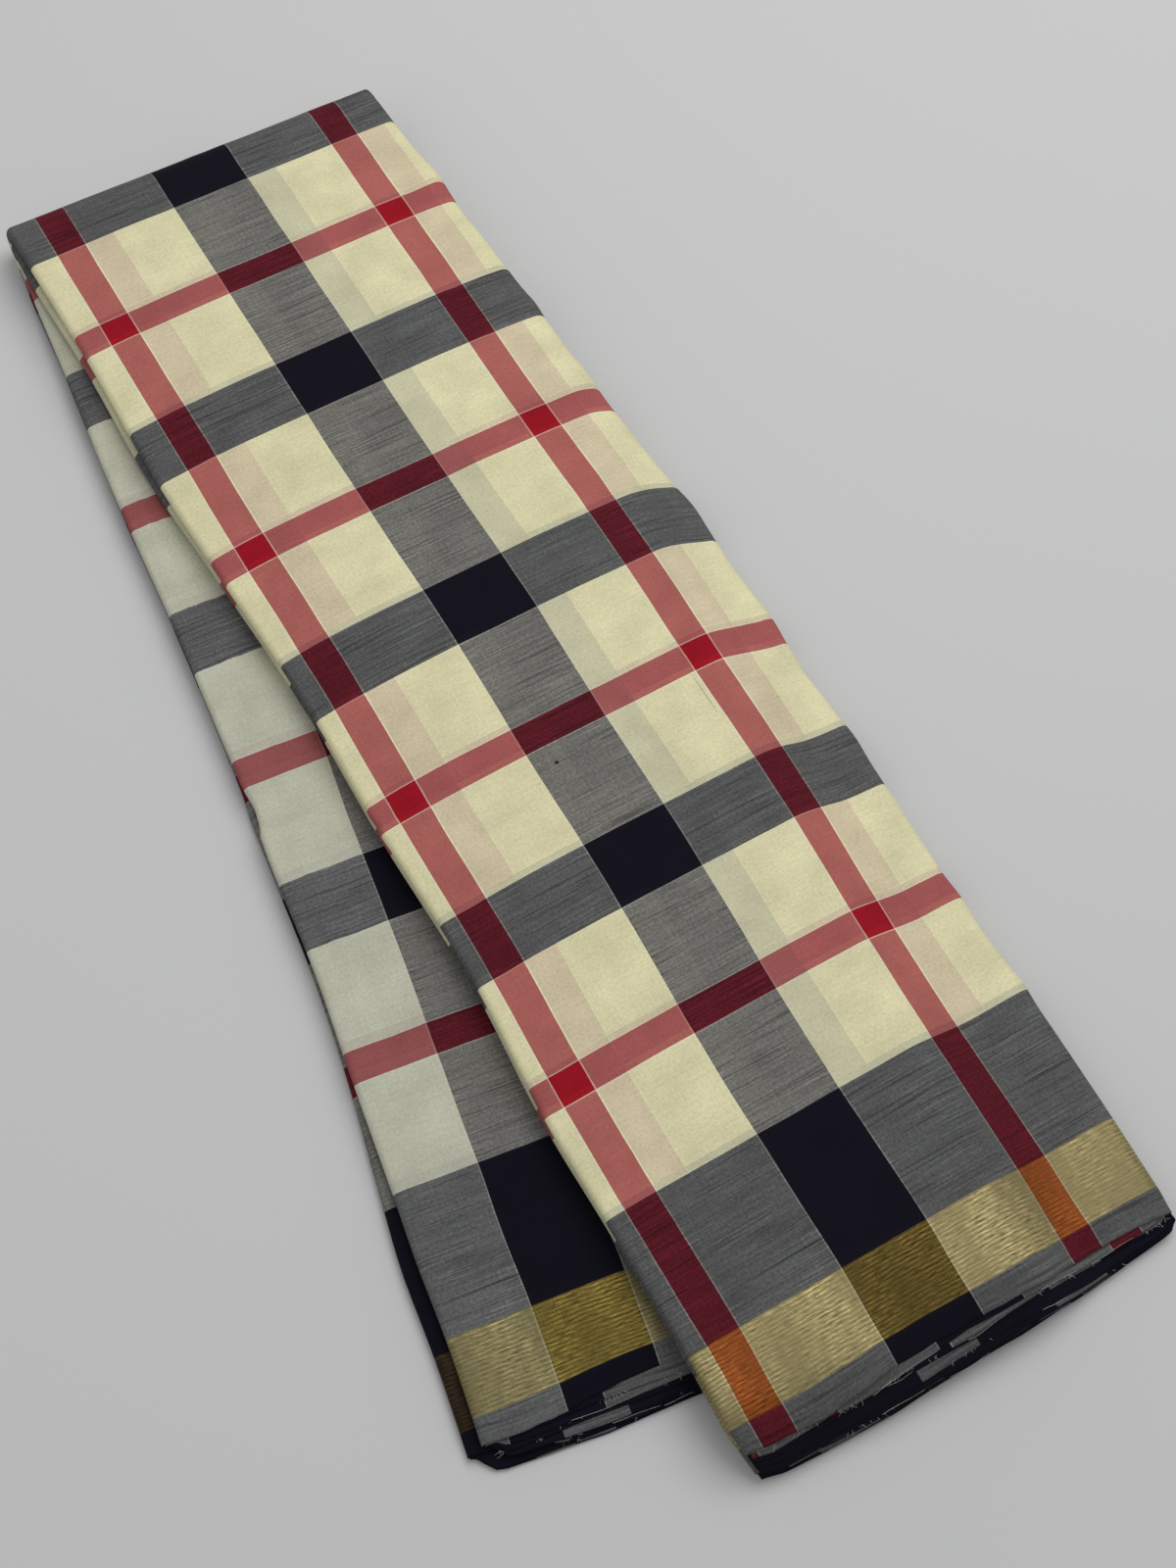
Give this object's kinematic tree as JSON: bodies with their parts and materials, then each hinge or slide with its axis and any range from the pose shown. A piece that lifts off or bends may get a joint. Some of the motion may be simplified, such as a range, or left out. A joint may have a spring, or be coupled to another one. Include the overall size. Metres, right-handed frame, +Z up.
{
  "type": "folded saree",
  "caption": "Cotton-silk saree in cream, grey and red checks with a gold border, folded into a flat bundle and over once, lying flat with its selvedge edges fanned.",
  "frame": {"origin": "middle of the footprint, on the surface the cloth lies on", "axes": "+X to the right across the panels, +Y along them towards the top fold, +Z up out of the surface"},
  "size_m": [0.258, 0.5954, 0.0274],
  "materials": {
    "front_cloth": "cream cotton-silk plain weave with grey and red check bands and a gold thread border, soft sheen",
    "second_cloth": "the same cloth where its grey and navy bands show at the side rolls and on the underside",
    "hidden_cloth": "the same cloth's navy selvedges, stacked, with a few grey slips"
  },
  "bodies": {
    "root": {"upper_front": "front_cloth", "upper_second_stretch": "second_cloth", "upper_hidden_layers": "hidden_cloth", "lower_front": "front_cloth", "lower_second_stretch": "second_cloth", "lower_hidden_layers": "hidden_cloth"}
  },
  "joints": []
}
